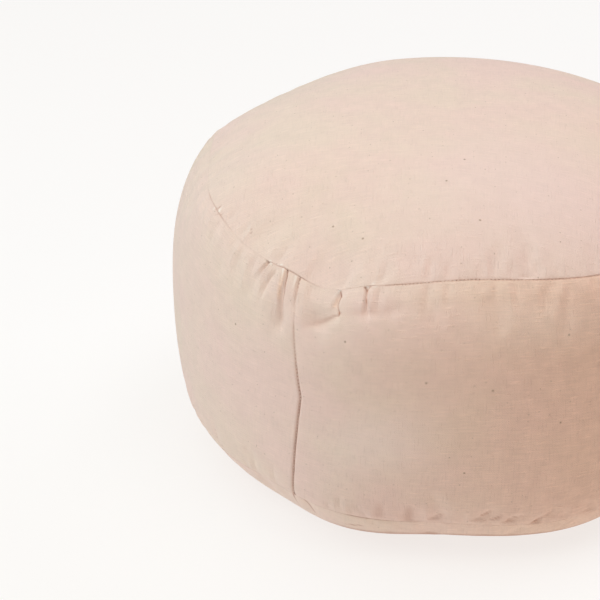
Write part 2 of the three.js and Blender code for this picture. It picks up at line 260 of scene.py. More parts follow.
def turn(a, b):
    """Degrees from azimuth b to azimuth a, between -180 and 180."""
    return (a - b + 180) % 360 - 180


def swayed(base, rows, azimuth, away=0.0):
    """A seam's or the belly's radius and height at an azimuth."""
    radius = base[0] + 0.0 * azimuth
    height = base[1] + 0.0 * (azimuth + away)
    for middle, spread, more_radius, more_height in rows:
        share = fade(turn(azimuth, middle), spread)
        radius = radius + more_radius * share
        height = height + more_height * share * fade(away, math.radians(spread) * base[0])
    radius, height = np.broadcast_arrays(radius, height)
    return np.stack([radius, height], -1)


def unit(vectors):
    """The same directions, each 1 long."""
    return vectors / np.linalg.norm(vectors, axis=-1, keepdims=True)


def swell(start, corner, end, fullness):
    """The four control points of a curve that leaves `start` towards `corner`."""
    leave = start + (corner - start) * fullness
    arrive = end + (corner - end) * fullness
    return np.stack(np.broadcast_arrays(start, leave, arrive, end))


def along(curve, t):
    """Points of a curve at shares t, which match the curve's own places or come before them."""
    t = t[..., None]
    u = 1 - t
    return u**3 * curve[0] + 3 * u * u * t * curve[1] + 3 * u * t * t * curve[2] + t**3 * curve[3]


def heading(curve, t):
    """Unit tangents of a curve at shares t."""
    t = t[..., None]
    u = 1 - t
    way = u * u * (curve[1] - curve[0]) + 2 * u * t * (curve[2] - curve[1])
    return unit(way + t * t * (curve[3] - curve[2]))


def section(azimuth):
    """The stretches of the cushion's section below the top seam: shoulder, skirt and underside."""
    top, belly, bottom, foot = [swayed(place, sway, azimuth) for place, sway in SECTION_POINTS]
    widest = belly[..., 0]
    radius, height = bottom[..., 0], bottom[..., 1]
    out = widest - top[..., 0]
    over = widest - radius
    shoulder_corner = np.stack([widest, top[..., 1] - out * SLOPE_FALL], -1)
    skirt_corner = np.stack([widest, height + over / UNDER_LEAN], -1)
    foot_corner = np.stack([radius - height * UNDER_LEAN, 0 * over], -1)
    return (
        swell(top, shoulder_corner, belly, SHOULDER_FULLNESS),
        swell(belly, skirt_corner, bottom, SKIRT_FULLNESS),
        swell(bottom, foot_corner, foot, UNDERSIDE_FULLNESS),
    )


def length_table(curve):
    """Length of a curve up to each of TABLE_STEPS."""
    steps = TABLE_STEPS.reshape((-1,) + (1,) * (curve.ndim - 2))
    points = along(curve, np.broadcast_to(steps, steps.shape[:1] + curve.shape[1:-1]))
    hops = np.linalg.norm(np.diff(points, axis=0), axis=-1)
    return np.concatenate([np.zeros((1,) + hops.shape[1:]), np.cumsum(hops, axis=0)])


def shares_at(curve, lengths):
    """Shares t of each column's curve at its lengths, both given row by row."""
    table = length_table(curve)
    columns = range(lengths.shape[1])
    return np.stack([np.interp(lengths[:, c], table[:, c], TABLE_STEPS) for c in columns], 1)


def join_azimuth(down):
    """The join's azimuth at a distance down from the top seam."""
    return np.interp(down, *zip(*JOIN))


def leaning(azimuth, down):
    """A column's azimuth at a distance down the band, where the columns lean with the join."""
    lean = join_azimuth(down) - join_azimuth(0)
    return azimuth + lean * fade(turn(azimuth, join_azimuth(0)), JOIN_REACH)


def troughs(rows, azimuth, distance, radius):
    """Depth of the troughs of a table, `distance` being that from their seam."""
    depth = 0.0
    for start_azimuth, end_azimuth, start, end, half_width, deep in rows:
        share = (distance - start) / (end - start)
        inside = (share >= 0) & (share < 1)
        middle = start_azimuth + (end_azimuth - start_azimuth) * share
        across = np.radians(turn(azimuth, middle)) * radius
        ends = (1 - fade(distance - start, TROUGH_RUN_IN)) * np.cos(np.pi / 2 * share)
        deep_here = deep * ends * fade(across, half_width * (1 + np.clip(share, 0, 1)))
        depth = depth + np.where(inside, deep_here, 0.0)
    return depth


def folds(paths, azimuth, distance, radius):
    """Depth of folds whose reach differs on their two sides."""
    depth = 0.0
    for path in paths:
        at, *values = zip(*path)
        middle, left, right, deep = [np.interp(distance, at, row) for row in values]
        across = np.radians(turn(azimuth, middle)) * radius
        deep_here = deep * fade(across, np.where(across < 0, left, right))
        depth = depth + np.where((distance >= at[0]) & (distance <= at[-1]), deep_here, 0.0)
    return depth


def creases(paths, azimuth, distance, radius):
    """Painted shade of creases, or the painted highlight of glints where it is negative."""
    both_sides = [[(at, middle, half, half, dark) for at, middle, half, dark in path] for path in paths]
    return folds(both_sides, azimuth, distance, radius)


def soft_spots(rows, azimuth, distance, radius):
    """How strong soft round spots are, given by their middle, half width, half height and strength."""
    strength = 0.0
    for middle, down, half_width, half_height, strongest in rows:
        across = np.radians(turn(azimuth, middle)) * radius
        near = fade(across, half_width) * fade(distance - down, half_height)
        strength = strength + strongest * near
    return strength


def lumpy(place, seed, count):
    """Noise of `count` lumps as `place` goes from 0 to 1 and comes round again."""
    lumps = np.random.default_rng(seed).random(count)
    return np.interp(place % 1 * count, np.arange(count + 1), np.append(lumps, lumps[0]))


def tightness(rows, azimuth, seed):
    """How tightly a seam is drawn in at an azimuth, unevenly from stitch to stitch."""
    around = np.interp(turn(azimuth, 0), *zip(*rows))
    least, more, most = UNEVENNESS
    uneven = 0.0
    for number, (share, count) in enumerate(SEAM_LUMPS):
        uneven = uneven + share * lumpy(azimuth / 360, seed + number, count)
    return around * np.clip(least + more * uneven, 0, most)


def join_tightness(down):
    """How tightly the join is drawn in at a distance down from the top seam."""
    least, more = JOIN_UNEVENNESS
    span, count = JOIN_LUMPS
    uneven = lumpy(down / span, JOIN_NOISE, count)
    return np.interp(down, *zip(*JOIN_TIGHTNESS)) * (least + more * uneven)


def seam_pull(distance, tight, pull=SEAM_PULL):
    """How far the cloth is drawn in at a distance from a seam, with its edge rolled over."""
    into = np.clip(1 - distance / SEAM_ROLL, 0, 1)
    roll = SEAM_ROLL * (1 - np.sqrt(1 - into**2))
    return (pull[0] * fade(distance, pull[1]) + roll) * (LOOSE_PULL + (1 - LOOSE_PULL) * tight)


class Patch:
    """A grid of the cover's points: azimuth, section point, tangent and distances from its seams."""

    def __init__(self, azimuth, point, tangent, upper, lower):
        shape = np.broadcast_shapes(azimuth.shape, point.shape[:-1])
        spread = [np.broadcast_to(values, shape) for values in (azimuth, upper, lower)]
        self.azimuth, self.upper, self.lower = spread
        self.point = np.broadcast_to(point, shape + (2,))
        self.tangent = np.broadcast_to(tangent, shape + (2,))
        self.relief, self.painted_shade_and_light, self.tint = np.zeros((3, *shape))

    def placed(self):
        """The grid's points in the row frame, in metres."""
        radius = self.point[..., 0] - self.tangent[..., 1] * self.relief
        height = self.point[..., 1] + self.tangent[..., 0] * self.relief
        angle = np.radians(self.azimuth)
        x = radius * np.sin(angle) - BOX_MIDDLE[0]
        y = -radius * np.cos(angle) - BOX_MIDDLE[1]
        return np.stack([x, y, height], -1) * MM


def crown_patch(inward, columns):
    """The top panel at distances in from its seam."""
    pole = np.array([0.0, HEIGHT])
    seam = np.array(TOP_SEAM, float)
    corner = np.array([seam[0] - (HEIGHT - seam[1]) / SLOPE_FALL, HEIGHT])
    dome = swell(pole, corner, seam, CROWN_FULLNESS)
    table = length_table(dome)
    t = np.interp(table[-1] - inward, table, TABLE_STEPS)
    base = along(dome, t)
    here = swayed(TOP_SEAM, TOP_SEAM_SWAY, columns[None, :], inward[:, None])
    radius = base[:, None, 0] * here[..., 0] / TOP_SEAM[0]
    height = base[:, None, 1] + here[..., 1] - TOP_SEAM[1]
    point = np.stack([radius, height], -1)
    tangent = heading(dome, t)[:, None, :]
    return Patch(columns[None, :], point, tangent, inward[:, None], inward[:, None])


def band_patch(shares, columns):
    """The side band at shares of its length from the top seam to the bottom one."""
    shoulder, skirt, _ = section(columns)
    upper_length = length_table(shoulder)[-1]
    whole = upper_length + length_table(skirt)[-1]
    down = shares[:, None] * whole[None, :]
    azimuth = leaning(columns[None, :], down)
    t_shoulder = shares_at(shoulder, np.minimum(down, upper_length))
    t_skirt = shares_at(skirt, np.maximum(down - upper_length, 0))
    in_shoulder = (down <= upper_length)[..., None]
    shoulder, skirt, _ = section(azimuth)
    point = np.where(in_shoulder, along(shoulder, t_shoulder), along(skirt, t_skirt))
    tangent = np.where(in_shoulder, heading(shoulder, t_shoulder), heading(skirt, t_skirt))
    return Patch(azimuth, point, tangent, down, whole - down)


def under_patch(shares, columns):
    """The bottom panel at shares of its length from the bottom seam to the foot."""
    azimuth = leaning(columns, BELOW_JOIN)
    _, _, underside = section(azimuth)
    whole = length_table(underside)[-1]
    inward = shares[:, None] * whole[None, :]
    t = shares_at(underside, inward)
    return Patch(azimuth[None, :], along(underside, t), heading(underside, t), inward, whole - inward)


def deep_in(distance, reach=CREVICE_REACH):
    """How far into a seam's painted shade a place is: 1 at the stitches, 0 outside."""
    return np.clip(1 - distance / reach, 0, 1)


def crown_relief(patch):
    """Adds the top panel's relief, its painted shade and highlights, and its tint."""
    seam = (patch.azimuth, patch.upper, patch.point[..., 0])
    tight = tightness(TOP_TIGHTNESS, patch.azimuth, TOP_NOISE)
    dark = creases(CROWN_CREASES, *seam)
    pale = creases(CROWN_GLINTS, *seam)
    patch.painted_shade_and_light += np.clip(deep_in(patch.upper) * tight + dark, 0, 1) + pale
    x, y, reach, rosy = CROWN_TINT
    place = patch.placed() / MM
    patch.tint -= rosy * fade(np.hypot(place[..., 0] - x, place[..., 1] - y), reach)
    patch.relief -= seam_pull(patch.upper, tight) + CREASE_DEPTH * dark + GLINT_RISE * pale
    patch.relief -= troughs(CROWN_FOLDS, *seam)


def warm_shade_side(azimuth):
    """How much warm painted shade the band and the underside have at an azimuth, on their shaded side.
    """
    middle, spread, tan = BAND_WARM_SHADE
    return tan * fade(turn(azimuth, middle), spread)


def band_relief(patch):
    """Adds the side band's relief, its painted shade and highlights, and its tint."""
    radius = patch.point[..., 0]
    azimuth = patch.azimuth
    top_seam = (azimuth, patch.upper, radius)
    bottom_seam = (azimuth, patch.lower, radius)
    half = ALLOWANCE_WIDTH / 2
    patch.relief += ALLOWANCE_RISE * fade(patch.upper - half, half)
    patch.relief -= folds(BAND_FOLDS, *top_seam)
    patch.relief -= troughs(BOTTOM_PUCKERS, *bottom_seam)
    patch.relief -= soft_spots(HOLLOWS, *top_seam)
    top_tight = tightness(TOP_TIGHTNESS, azimuth, TOP_NOISE)
    foot_tight = tightness(BOTTOM_TIGHTNESS, azimuth, FOOT_NOISE)
    join_tight = join_tightness(patch.upper)
    from_join = np.abs(np.radians(turn(azimuth, join_azimuth(patch.upper))) * radius)
    patch.relief -= seam_pull(from_join, join_tight, JOIN_PULL)
    patch.relief -= seam_pull(patch.upper, top_tight) + seam_pull(patch.lower, foot_tight)
    dark = creases(BAND_CREASES, *top_seam) + creases(FOOT_CREASES, *bottom_seam)
    dark = dark + soft_spots(BAND_SHADES, *top_seam)
    # Painted highlights of the glints, and soft painted light.
    pale = creases(BAND_GLINTS, *top_seam) + soft_spots(BAND_PAINTED_LIGHT, *top_seam)
    patch.relief -= CREASE_DEPTH * dark + GLINT_RISE * pale
    seams = deep_in(patch.upper) * top_tight + deep_in(patch.lower) * foot_tight
    seams = seams + deep_in(from_join, JOIN_CREVICE_REACH) * join_tight
    patch.painted_shade_and_light += np.clip(seams + dark, 0, 1) + pale
    # Warm painted shade on the shaded side, and on the tucks' flanks.
    patch.tint += warm_shade_side(azimuth)
    patch.tint += creases(FLANK_WARM_SHADE, *top_seam)


def under_relief(patch):
    """Adds the bottom panel's relief, its painted shade, and its tint."""
    seam = (patch.azimuth, patch.upper, patch.point[..., 0])
    tight = tightness(BOTTOM_TIGHTNESS, patch.azimuth, FOOT_NOISE)
    slope = np.degrees(np.arctan2(-patch.tangent[..., 1], -patch.tangent[..., 0]))
    steep, shallow = FOOT_SLOPES
    dark = creases(UNDER_CREASES, *seam)
    # Painted contact shadow where the underside turns in towards the floor.
    dark = dark + FOOT_SHADE * np.clip((steep - slope) / (steep - shallow), 0, 1)
    patch.painted_shade_and_light += np.clip(deep_in(patch.upper) * tight + dark, 0, 1)
    # Warm painted shade on the shaded side.
    patch.tint += warm_shade_side(patch.azimuth)
    patch.relief -= seam_pull(patch.upper, tight)
    patch.relief -= troughs(UNDER_FOLDS, *seam)


# ---- Grids ----


def runs(rows):
    """Values that step from each row's start to the next row's: (start, step)."""
    values = []
    for (start, step), (end, _) in zip(rows, rows[1:]):
        count = max(1, round((end - start) / step))
        values.extend(start + (end - start) * k / count for k in range(count))
    return np.array(values)


# Columns by azimuth, fine where the tucks are, and finest at the join.
JOIN_TOP = JOIN[0][1]
COLUMN_RUNS = [
    (-72, 0.6),
    (-64, 0.3),
    (-43, 0.14),
    (JOIN_TOP - 0.9, 0.09),
    (JOIN_TOP, 0.09),
    (JOIN_TOP + 0.9, 0.14),
    (-14, 0.45),
    (100, 1.1),
    (288, 0),
]
# The crown's rings thin out towards its middle: below each radius, only every n-th column is kept.
THINNING = [(70, 2), (34, 4), (15, 8)]
COLUMNS = runs(COLUMN_RUNS)
COLUMNS = COLUMNS[: len(COLUMNS) // THINNING[-1][1] * THINNING[-1][1]]
NEAR_SEAM = [0, 0.12, 0.3, 0.55, 0.85, 1.2, 1.7, 2.3, 3.0, 3.8, 4.8]
# Lengths of cloth from seam to pole, from seam to seam and from seam to foot.
DOME_LENGTH = 166.8
BAND_LENGTH = 160.0
UNDER_LENGTH = 50.0


def band_shares():
    """Rows of the band, as shares of its length."""
    upper = np.concatenate([NEAR_SEAM, runs([(6, 1.4), (44, 2.4), (BAND_LENGTH / 2, 0)])])
    lower = np.concatenate([NEAR_SEAM, runs([(6, 1.6), (30, 2.4), (BAND_LENGTH / 2 + 1, 0)])])
    return np.concatenate([upper, BAND_LENGTH - lower[::-1]]) / BAND_LENGTH


def crown_distances():
    """Rows of the top panel, as distances in from its seam."""
    return np.concatenate([NEAR_SEAM, runs([(6, 1.4), (30, 2.2), (90, 3.5), (DOME_LENGTH, 0)])])


def under_distances():
    """Rows of the bottom panel, as distances in from its seam."""
    rows = runs([(6, 1.6), (30, 2.4), (UNDER_LENGTH, 0)])
    return np.concatenate([NEAR_SEAM, rows, [UNDER_LENGTH]])


# ---- Puckers, from a cloth simulation ----

# A net of cloth over the seams, held along both of them and a little longer than the form under it.
# It buckles where the sewing gathers it. What it adds round the cushion is kept as relief.
NET_COLUMNS = 260
NET_STEP = 4.2  # millimetres between its rows
NET_CROWN = 62  # how far in from the top seam it reaches
NET_UNDER = 30
NET_GROWTH = 0.05
NET_FRAMES = 16
NET_WAVES = (4.5, 26)  # millimetres round the cushion: finer is the net's own, wider the form's
PUCKER_LIMIT = 1.5
GATHER_REACH = (26, 44, 38, 22)  # of the crown, the band's top, its foot and the underside
GATHER_NOISE = (3, 8)  # seeds for the top seam and the bottom seam
GATHER_LUMP = 14  # columns that a lump of it spans
GATHER_LEAST = 0.35
NET_CLOTH = {
    "quality": 6,
    "mass": 0.1,
    "tension_stiffness": 12,
    "compression_stiffness": 12,
    "shear_stiffness": 4,
    "bending_stiffness": 5,
    "vertex_group_mass": "held",
    "vertex_group_shrink": "flat",
    "shrink_max": 0,
    "shrink_min": -NET_GROWTH,
    "use_pressure": True,
    "uniform_pressure_force": 4,
}


def plain_mesh(name, points, faces):
    """A mesh of points in the row frame, in metres."""
    mesh = bpy.data.meshes.new(name)
    mesh.from_pydata(np.asarray(points).tolist(), [], faces)
    mesh.update()
    return mesh


def linked(name, data):
    """A new object in the scene."""
    obj = bpy.data.objects.new(name, data)
    bpy.context.scene.collection.objects.link(obj)
    return obj


def smooth_noise(seed, count, size):
    """Noise round the cushion, 0 to 1, in lumps `size` samples long."""
    lumps = np.random.default_rng(seed).random(count)
    waves = np.fft.rfft(lumps - lumps.mean())
    waves *= np.exp(-((np.arange(len(waves)) * size / count) ** 2))
    curve = np.fft.irfft(waves, count)
    return np.clip(0.5 + curve / (4 * curve.std()), 0, 1)


class Puckers:
    """The relief that the simulated net gives each panel."""

    def __init__(self):
        self.columns = np.linspace(COLUMNS[0], COLUMNS[0] + 360, NET_COLUMNS, endpoint=False)
        inward = np.linspace(NET_CROWN, 0, round(NET_CROWN / NET_STEP) + 1)
        shares = np.linspace(0, 1, round(BAND_LENGTH / NET_STEP) + 1)
        under_shares = np.linspace(0, NET_UNDER, round(NET_UNDER / NET_STEP) + 1) / UNDER_LENGTH
        self.top_row = len(inward) - 1
        self.bottom_row = self.top_row + len(shares) - 1
        self.panels = {
            "crown": (slice(0, self.top_row + 1), inward),
            "band": (slice(self.top_row, self.bottom_row + 1), shares),
            "underside": (slice(self.bottom_row, None), under_shares),
        }
        crown = crown_patch(inward, self.columns)
        band = band_patch(shares, self.columns)
        under = under_patch(under_shares, self.columns)
        self.points = np.concatenate([crown.placed(), band.placed()[1:], under.placed()[1:]])
        inner, upper, lower, below = GATHER_REACH
        on_crown = crown.upper[:, 0] / inner
        on_band = np.minimum(band.upper[1:, 0] / upper, band.lower[1:, 0] / lower)
        on_underside = under.upper[1:, 0] / below
        away = np.concatenate([on_crown, on_band, on_underside])
        self.gather = np.clip(1 - away, 0, 1)
        self.relief = self.simulated()

    def net(self):
        """The net as an object, with how far each vertex may grow as a vertex group."""
        rows, columns = self.points.shape[:2]
        faces = []
        for r in range(rows - 1):
            here, there = r * columns, (r + 1) * columns
            for c in range(columns):
                n = (c + 1) % columns
                faces.append((here + c, there + c, there + n, here + n))
        obj = linked("net", plain_mesh("net", self.points.reshape(-1, 3), faces))
        held = obj.vertex_groups.new(name="held")
        for row in (0, self.top_row, self.bottom_row, rows - 1):
            held.add(list(range(row * columns, (row + 1) * columns)), 1.0, "REPLACE")
        flat = obj.vertex_groups.new(name="flat")
        patchy = [smooth_noise(seed, columns, GATHER_LUMP) for seed in GATHER_NOISE]
        for r in range(rows):
            above = r < (self.top_row + self.bottom_row) / 2
            for c in range(columns):
                uneven = patchy[0 if above else 1][c]
                weight = self.gather[r] * (GATHER_LEAST + (1 - GATHER_LEAST) * uneven)
                flat.add([r * columns + c], float(1 - weight), "REPLACE")
        return obj

    def simulated(self):
        """How far out of the plain form the net's short waves lie once it has buckled."""
        obj = self.net()
        normals = np.zeros(self.points.size)
        obj.data.vertices.foreach_get("normal", normals)
        cloth_modifier = obj.modifiers.new("Cloth", "CLOTH")
        for key, value in NET_CLOTH.items():
            setattr(cloth_modifier.settings, key, value)
        cloth_modifier.settings.effector_weights.gravity = 0
        cloth_modifier.collision_settings.use_collision = False
        scene = bpy.context.scene
        first = scene.frame_current
        for number in range(1, NET_FRAMES + 1):
            scene.frame_set(number)
        solved = obj.evaluated_get(bpy.context.evaluated_depsgraph_get())
        moved = np.zeros(self.points.size)
        solved.data.vertices.foreach_get("co", moved)
        scene.frame_set(first)
        mesh = obj.data
        bpy.data.objects.remove(obj)
        bpy.data.meshes.remove(mesh)
        shift = (moved.reshape(-1, 3) - self.points.reshape(-1, 3)) / MM
        out = (shift * normals.reshape(-1, 3)).sum(-1).reshape(self.points.shape[:2])
        waves = np.fft.rfft(out, axis=1)
        around = 2 * math.pi * BELLY[0]
        numbers = np.arange(waves.shape[1])
        fine, wide = [np.exp(-((numbers * size / around) ** 2)) for size in NET_WAVES]
        waves *= fine * (1 - wide)
        out = np.fft.irfft(waves, out.shape[1], axis=1)
        return PUCKER_LIMIT * np.tanh(out / PUCKER_LIMIT)

    def added(self, panel, places, columns):
        """The relief that the net gives a panel, at places down it and at columns."""
        rows, known = self.panels[panel]
        relief = self.relief[rows]
        if known[0] > known[-1]:
            relief, known = relief[::-1], known[::-1]
        down = [np.interp(places, known, column, left=0, right=0) for column in relief.T]
        down = np.stack([*down, down[0]], 1)
        turns = np.append(self.columns, self.columns[0] + 360)
        return np.stack([np.interp(columns, turns, row) for row in down])


puckers = Puckers()

# ---- Meshes ----


class Build:
    """Points, faces and cloth coordinates of one closed piece, gathered ring by ring."""

    def __init__(self):
        self.points = []
        # per point: painted shade, or painted highlight where negative
        self.painted_shade_and_light = []
        self.tint = []
        self.faces = []
        self.smooth = []
        self.cloth = []  # per face corner, millimetres along the two threads
        self.bake = []  # per face corner, places in the square of the baked picture

    def ring(self, points, painted_shade_and_light, tint):
        """Adds points and gives their indices."""
        first = len(self.points)
        self.points.extend(points)
        self.painted_shade_and_light.extend(painted_shade_and_light)
        self.tint.extend(tint)
        return list(range(first, len(self.points)))

    def face(self, corners, cloth, bake, smooth=True):
        self.faces.append(corners)
        self.smooth.append(smooth)
        self.cloth.extend(cloth)
        self.bake.extend(bake)

    def cap(self, ring, point, first, spot):
        """A fan from a ring to a point; `spot` is its small disc in the square, (x, y, radius)."""
        top = self.ring([point], [1.0], [0.0])[0]
        count = len(ring)
        for c in range(count):
            n = (c + 1) % count
            corners = (top, ring[c], ring[n]) if first else (ring[c], top, ring[n])
            places = []
            for corner in corners:
                angle = 2 * math.pi * (c if corner == ring[c] else c + 1) / count
                reach = 0 if corner == top else spot[2]
                places.append((spot[0] + reach * math.cos(angle), spot[1] + reach * math.sin(angle)))
            self.face(corners, [(0.0, 0.0)] * 3, places, smooth=False)

    def made(self, name, inside_out=False):
        mesh = plain_mesh(name, self.points, self.faces)
        mesh.polygons.foreach_set("use_smooth", self.smooth)
        for layer, values in (("OFBake", self.bake), ("cloth", self.cloth)):
            uv = mesh.uv_layers.new(name=layer)
            uv.data.foreach_set("uv", np.array(values, np.float32).ravel())
        for layer, values in (("painted_shade_and_light", self.painted_shade_and_light), ("tint", self.tint)):
            attribute = mesh.attributes.new(layer, "FLOAT", "POINT")
            attribute.data.foreach_set("value", np.array(values, np.float32))
        if inside_out:
            mesh.flip_normals()
        mesh.update()
        return linked(name, mesh)


def axis_point(height):
    return np.array([-BOX_MIDDLE[0], -BOX_MIDDLE[1], height]) * MM


def lifted(points, lift):
    return points + np.array([0, 0, lift * MM])


PANEL_SQUARE = 420.0  # millimetres of a panel that span the baked picture
PANEL_CAP = (0.06, 0.06, 0.05)
POLE_RADIUS = 4  # the crown's rings end here, and a fan closes it
FLAT_RADII = (120, 105, 88, 70, 52, 34, 16)


def kept_every(radius):
    """How many columns there are to each one that a ring of a panel keeps."""
    return max([1] + [every for limit, every in THINNING if radius < limit])


def panel_face(build, corners):
    """A face of a panel, whose threads run along the row frame's X and Y."""
    cloth = [(build.points[i][0] / MM, build.points[i][1] / MM) for i in corners]
    bake = [(0.5 + u / PANEL_SQUARE, 0.5 + v / PANEL_SQUARE) for u, v in cloth]
    build.face(corners, cloth, bake)


def join_panel_rings(build, first, second):
    """Faces between two rings of a panel; the second may have half as many points."""
    count = len(first)
    made = []
    if len(second) == count:
        for c in range(count):
            n = (c + 1) % count
            made.append((first[c], second[c], second[n], first[n]))
    else:
        for c in range(0, count, 2):
            n = (c + 2) % count
            here, there = second[c // 2], second[n // 2]
            made.append((first[c], here, first[c + 1]))
            made.append((first[c + 1], here, there))
            made.append((first[c + 1], there, first[n]))
    for corners in made:
        panel_face(build, corners)


def join_panel(build, rings, cap_height, middle_height):
    """All faces of a panel: between its rings, behind its seam and round its middle."""
    for first, second in zip(rings, rings[1:]):
        join_panel_rings(build, first, second)
    build.cap(rings[0], axis_point(cap_height), True, PANEL_CAP)
    middle = build.ring([axis_point(middle_height)], [0.0], [0.0])[0]
    last = rings[-1]
    for c in range(len(last)):
        panel_face(build, (last[c], middle, last[(c + 1) % len(last)]))


def build_top(half_gap):
    inward = crown_distances()
    patch = crown_patch(inward, COLUMNS)
    crown_relief(patch)
    if puckers:
        patch.relief += puckers.added("crown", inward, COLUMNS)
    points = patch.placed()
    points[0] = lifted(points[0], half_gap)
    build = Build()
    rings = []
    for ring, painted_shade_and_light, tint, section_point in zip(points, patch.painted_shade_and_light, patch.tint, patch.point):
        radius = section_point[0, 0]
        if radius < POLE_RADIUS:
            continue
        keep = kept_every(radius)
        rings.append(build.ring(ring[::keep], painted_shade_and_light[::keep], tint[::keep]))
    join_panel(build, rings, TOP_SEAM[1] + half_gap, HEIGHT)
    return build.made("top_panel_cloth", inside_out=True)


def build_bottom(half_gap):
    shares = under_distances() / UNDER_LENGTH
    patch = under_patch(shares, COLUMNS)
    under_relief(patch)
    if puckers:
        patch.relief += puckers.added("underside", shares, COLUMNS)
    points = patch.placed()
    points[..., 2] = np.maximum(points[..., 2], 0)
    points[0] = lifted(points[0], -half_gap)
    build = Build()
    rings = [build.ring(*row) for row in zip(points, patch.painted_shade_and_light, patch.tint)]
    middle = axis_point(0)
    for radius in FLAT_RADII:
        flat = (middle + (points[-1] - middle) * (radius / FOOT[0]))[:: kept_every(radius)]
        plain = np.zeros(len(flat))
        rings.append(build.ring(flat, plain, plain))
    join_panel(build, rings, BOTTOM_SEAM[1] - half_gap, 0)
    return build.made("bottom_panel_cloth")


BAND_AROUND = 2 * math.pi * 176  # millimetres of cloth round the band
BAND_STRIPS = 3  # the band lies in the baked picture as this many strips, one above another
BAND_SQUARE = 540.0
STRIP_MARGIN = 6
BAND_TOP_CAP, BAND_FOOT_CAP = (0.86, 0.2, 0.1), (0.86, 0.5, 0.1)


def build_side(half_gap):
    shares = band_shares()
    patch = band_patch(shares, COLUMNS)
    band_relief(patch)
    if puckers:
        patch.relief += puckers.added("band", shares, COLUMNS)
    points = patch.placed()
    points[0] = lifted(points[0], -half_gap)
    points[-1] = lifted(points[-1], half_gap)
    build = Build()
    rings = [build.ring(*row) for row in zip(points, patch.painted_shade_and_light, patch.tint)]
    count = len(COLUMNS)
    across = (COLUMNS - COLUMNS[0]) / 360 * BAND_AROUND
    across = np.append(across, BAND_AROUND)
    strip_width = BAND_AROUND / BAND_STRIPS
    for r in range(len(shares) - 1):
        downs = (shares[r] * BAND_LENGTH, shares[r + 1] * BAND_LENGTH)
        for c in range(count):
            n = (c + 1) % count
            strip = min(int(across[c] / strip_width), BAND_STRIPS - 1)
            left = strip * strip_width
            corners = (rings[r][c], rings[r + 1][c], rings[r + 1][n], rings[r][n])
            places = ((c, 0), (c, 1), (c + 1, 1), (c + 1, 0))
            cloth = [(across[column], -downs[row]) for column, row in places]
            lift = (strip + 1) * (BAND_LENGTH + STRIP_MARGIN)
            bake = [(u - left + STRIP_MARGIN, lift + v) for u, v in cloth]
            bake = [(u / BAND_SQUARE, v / BAND_SQUARE) for u, v in bake]
            build.face(corners, cloth, bake)
    build.cap(rings[0], axis_point(TOP_SEAM[1] - half_gap), True, BAND_TOP_CAP)
    build.cap(rings[-1], axis_point(BOTTOM_SEAM[1] + half_gap), False, BAND_FOOT_CAP)
    return build.made("side_band_cloth")


# ---- Stitches ----

STITCH_PITCH = 2.2
STITCH_SUNK = (0.36, 0.62)  # below the plain cloth, where the stitches show and where they don't
STITCHES_SHOW = (4, 16)  # azimuth and spread of where they show
# A stitch from end to end: place along it and radius of its thread.
STITCH = [(-0.8, 0.06), (-0.6, 0.2), (0, 0.25), (0.6, 0.2), (0.8, 0.06)]
STITCH_SIDES = 6
STITCH_REACH = 0.7  # how far before and after its middle a stitch takes its direction
JOIN_SEWN = (0.012, 0.988, 200)  # shares of the band where the join's stitches start and end, points


def stitch_row(line, outward, closed):
    """Vertices and faces of stitches along a dense line of points, each with its outward way."""
    if closed:
        line, outward = np.vstack([line, line[:1]]), np.vstack([outward, outward[:1]])
    hops = np.linalg.norm(np.diff(line, axis=0), axis=1)
    length = np.concatenate([[0], np.cumsum(hops)])
    count = int(length[-1] / STITCH_PITCH)
    middles = (np.arange(count) + 0.5) * length[-1] / count
    place, ahead, behind, up = [
        np.stack([np.interp(middles + step, length, values[:, axis]) for axis in range(3)], -1)
        for values, step in ((line, 0), (line, STITCH_REACH), (line, -STITCH_REACH), (outward, 0))
    ]
    way = unit(ahead - behind)
    up = unit(up - way * (up * way).sum(1, keepdims=True))
    side = np.cross(way, up)
    azimuth = np.degrees(np.arctan2(place[:, :1], -place[:, 1:2]))
    shown = fade(turn(azimuth, STITCHES_SHOW[0]), STITCHES_SHOW[1])
    shallow, deep = STITCH_SUNK
    place = place - up * (deep + (shallow - deep) * np.sqrt(shown))
    rings = []
    for along_it, radius in STITCH:
        for k in range(STITCH_SIDES):
            angle = 2 * math.pi * k / STITCH_SIDES
            round_it = up * math.cos(angle) + side * math.sin(angle)
            rings.append(place + way * along_it + round_it * radius)
    points = np.stack(rings, 1)
    size = len(STITCH) * STITCH_SIDES
    faces = []
    for stitch in range(count):
        first = stitch * size
        for ring in range(len(STITCH) - 1):
            for k in range(STITCH_SIDES):
                n = (k + 1) % STITCH_SIDES
                a, b = first + ring * STITCH_SIDES, first + (ring + 1) * STITCH_SIDES
                faces.append((a + k, a + n, b + n, b + k))
        faces.append(tuple(first + STITCH_SIDES - 1 - k for k in range(STITCH_SIDES)))
        faces.append(tuple(first + size - STITCH_SIDES + k for k in range(STITCH_SIDES)))
    return points.reshape(-1, 3), faces


def seam_line(stretch):
    """The points round the cushion where a stretch of the section starts, and the way out of each."""
    azimuth = np.arange(0, 360, 0.5)
    point, leave, _, _ = section(azimuth)[stretch]
    way = leave - point
    angle = np.radians(azimuth)
    line = np.stack([point[:, 0] * np.sin(angle), -point[:, 0] * np.cos(angle), point[:, 1]], -1)
    out = np.stack([-way[:, 1] * np.sin(angle), way[:, 1] * np.cos(angle), way[:, 0]], -1)
    return line, out


